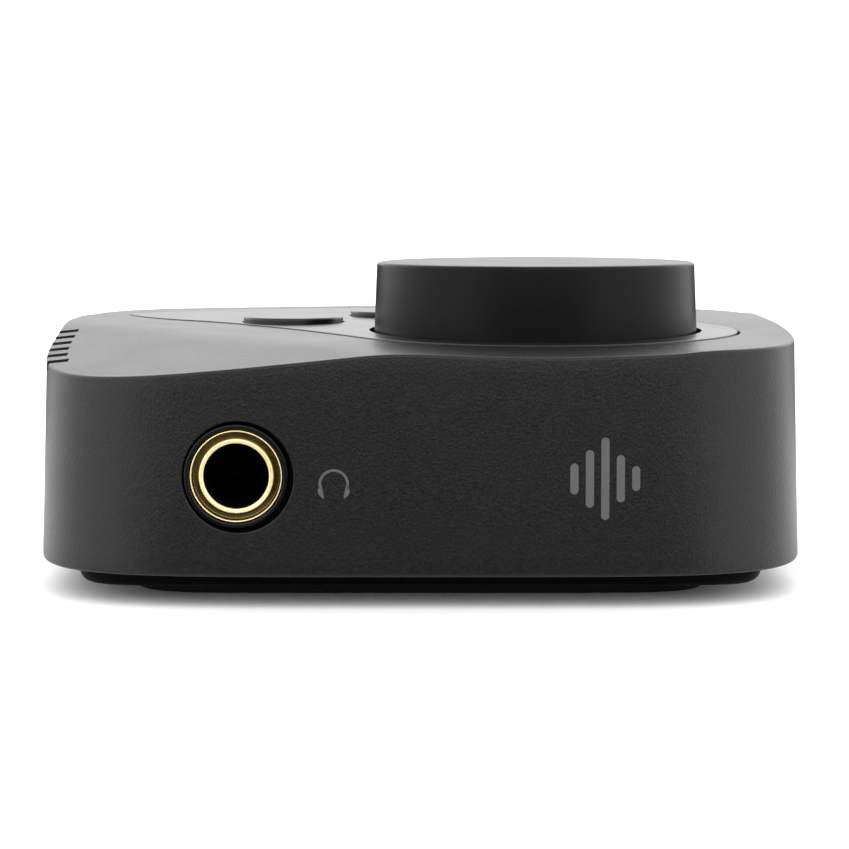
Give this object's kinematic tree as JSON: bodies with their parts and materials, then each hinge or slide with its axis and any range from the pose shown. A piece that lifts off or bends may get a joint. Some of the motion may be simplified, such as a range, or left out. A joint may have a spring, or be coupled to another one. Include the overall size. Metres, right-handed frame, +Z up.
{
  "type": "audio interface",
  "caption": "Palm-sized desktop headphone audio interface: rounded square case with a sloped corner, a large volume knob, three round buttons and front and rear sockets.",
  "frame": {"origin": "centre of the overall box at the height of the table, under the rubber pad", "axes": "+Z up, -Y towards the user (the front, with the headphone socket), +X to the user's right"},
  "size_m": [0.0786, 0.0786, 0.0329],
  "materials": {
    "shell_matte": "fine textured matte black",
    "panel_satin": "satin black",
    "knob_satin": "satin black coating",
    "cover_black": "matte black",
    "pad_rubber": "matte black rubber",
    "socket_black": "smooth black",
    "gold_brass": "gold-plated, polished",
    "steel": "nickel-plated",
    "marking_white": "white",
    "light_clear": "smoked clear",
    "board_green": "solder mask",
    "chip_black": "moulded epoxy",
    "cell_silver": "foil pouch"
  },
  "bodies": {
    "case": {"top_shell": "shell_matte", "top_panel": "panel_satin", "bottom_cover": "cover_black", "rubber_pad": "pad_rubber", "encoder_body": "steel", "encoder_nut": "steel", "encoder_washer": "steel", "switch_rear": "steel", "switch_middle": "steel", "switch_left": "steel", "headphone_jack_body": "socket_black", "headphone_jack_bezel": "socket_black", "headphone_jack_ferrule": "gold_brass", "headphone_tip_contact": "gold_brass", "line_jack_body": "socket_black", "line_jack_ring": "steel", "usb_socket_shell": "steel", "usb_socket_tongue": "chip_black", "power_switch_body": "steel", "status_light_pipe": "light_clear", "status_led": "light_clear", "main_board": "board_green", "control_board": "board_green", "processor_chip": "chip_black", "codec_chip": "chip_black", "charger_chip": "chip_black", "power_inductor": "chip_black", "battery_connector": "marking_white", "board_connector": "chip_black", "capacitor_1": "cell_silver", "capacitor_2": "cell_silver", "capacitor_3": "cell_silver", "capacitor_4": "cell_silver", "board_spacer_1": "gold_brass", "board_spacer_2": "gold_brass", "board_spacer_3": "gold_brass", "battery_cell": "cell_silver", "cover_screw_1": "steel", "cover_screw_2": "steel", "cover_screw_3": "steel", "cover_screw_4": "steel"},
    "knob": {"volume_knob": "knob_satin", "encoder_shaft": "steel"},
    "rear_button": {"button_rear": "panel_satin", "plunger_rear": "chip_black"},
    "middle_button": {"button_middle": "panel_satin", "plunger_middle": "chip_black"},
    "left_button": {"button_left": "panel_satin", "plunger_left": "chip_black"},
    "slider": {"power_slider": "socket_black", "power_slider_marker": "marking_white"}
  },
  "joints": [
    {"name": "volume_turn", "type": "hinge", "parent": "case", "child": "knob", "pos_m": [0.0122, -0.0105, 0.0289], "axis": [0, 0, -1], "continuous": true},
    {"name": "rear_button_press", "type": "slide", "parent": "case", "child": "rear_button", "axis": [0, 0, -1], "range_m": [0, 0.00035], "stiffness_N_per_m": 1500, "springref_m": -0.0005},
    {"name": "middle_button_press", "type": "slide", "parent": "case", "child": "middle_button", "axis": [0, 0, -1], "range_m": [0, 0.00035], "stiffness_N_per_m": 1500, "springref_m": -0.0005},
    {"name": "left_button_press", "type": "slide", "parent": "case", "child": "left_button", "axis": [0, 0, -1], "range_m": [0, 0.00035], "stiffness_N_per_m": 1500, "springref_m": -0.0005},
    {"name": "power_slide", "type": "slide", "parent": "case", "child": "slider", "axis": [-1, 0, 0], "range_m": [0, 0.00286]}
  ]
}
